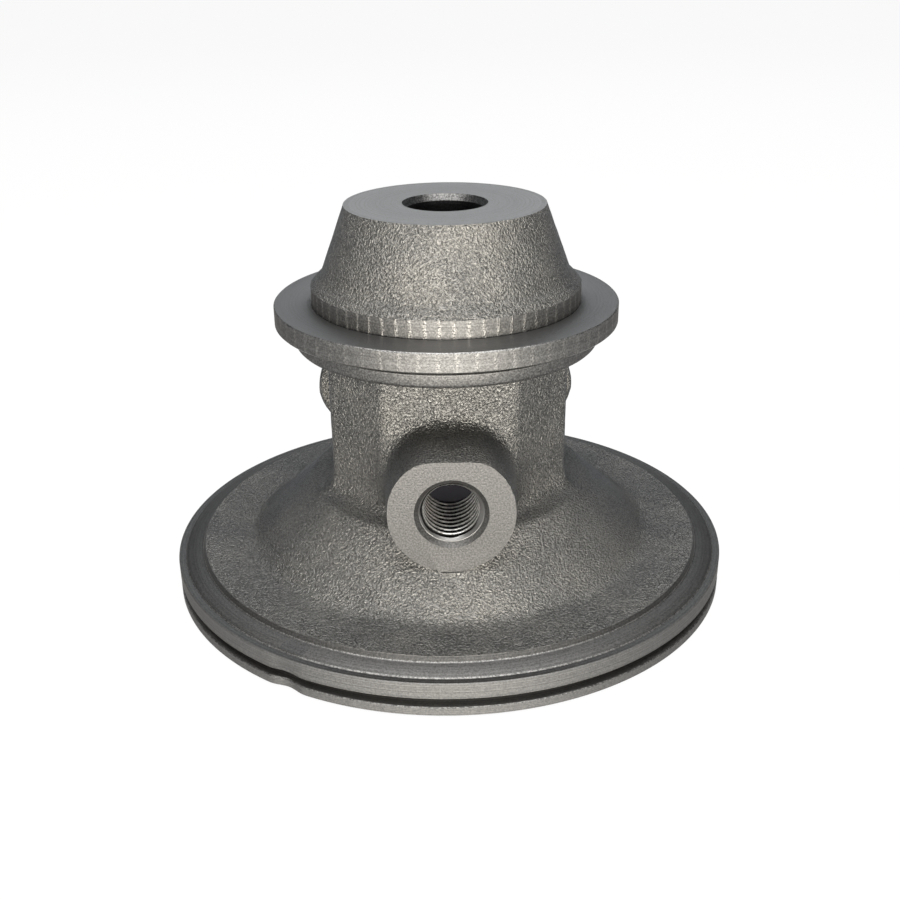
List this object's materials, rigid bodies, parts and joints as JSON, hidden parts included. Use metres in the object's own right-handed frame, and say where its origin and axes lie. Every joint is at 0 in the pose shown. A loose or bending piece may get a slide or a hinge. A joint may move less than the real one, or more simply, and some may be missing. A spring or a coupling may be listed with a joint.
{
  "type": "turbo bearing housing",
  "caption": "Bearing housing of a turbocharger: disc, eight-sided column, threaded oil inlet, drain flange, clamp flange and nose cone, with floating bushes and thrust parts inside.",
  "frame": {"origin": "on the rotor axis, at the face of the compressor-side disc", "axes": "+Z along the rotor axis towards the turbine end, -Y towards the oil inlet, +Y towards the oil drain"},
  "size_m": [0.114, 0.114, 0.0766],
  "materials": {
    "grey_iron": "as cast and machined",
    "bronze": "fine turned",
    "spring_steel": "phosphated",
    "ground_steel": "ground",
    "sheet_steel": "pressed sheet",
    "insert_alloy": "turned",
    "seal_rubber": "matt"
  },
  "bodies": {
    "housing": {"bearing_housing": "grey_iron", "turbine_outer_circlip": "spring_steel", "turbine_inner_circlip": "spring_steel", "compressor_inner_circlip": "spring_steel", "compressor_outer_circlip": "spring_steel", "thrust_bearing": "bronze", "thrust_bearing_dowels": "ground_steel", "slinger_ring_seal": "spring_steel", "oil_baffle": "sheet_steel", "oil_seal_insert": "insert_alloy", "insert_o_ring": "seal_rubber", "insert_retaining_ring": "spring_steel"},
    "turbine_bush": {"turbine_journal_bearing": "bronze"},
    "compressor_bush": {"compressor_journal_bearing": "bronze"},
    "thrust_set": {"inner_thrust_washer": "ground_steel", "thrust_collar": "ground_steel", "oil_slinger": "ground_steel"}
  },
  "joints": [
    {"name": "turbine_bush_spin", "type": "hinge", "parent": "housing", "child": "turbine_bush", "pos_m": [0, 0, 0.053], "axis": [0, 0, 1], "continuous": true},
    {"name": "compressor_bush_spin", "type": "hinge", "parent": "housing", "child": "compressor_bush", "pos_m": [0, 0, 0.0272], "axis": [0, 0, 1], "continuous": true},
    {"name": "thrust_set_spin", "type": "hinge", "parent": "housing", "child": "thrust_set", "pos_m": [0, 0, 0.01705], "axis": [0, 0, 1], "continuous": true}
  ]
}
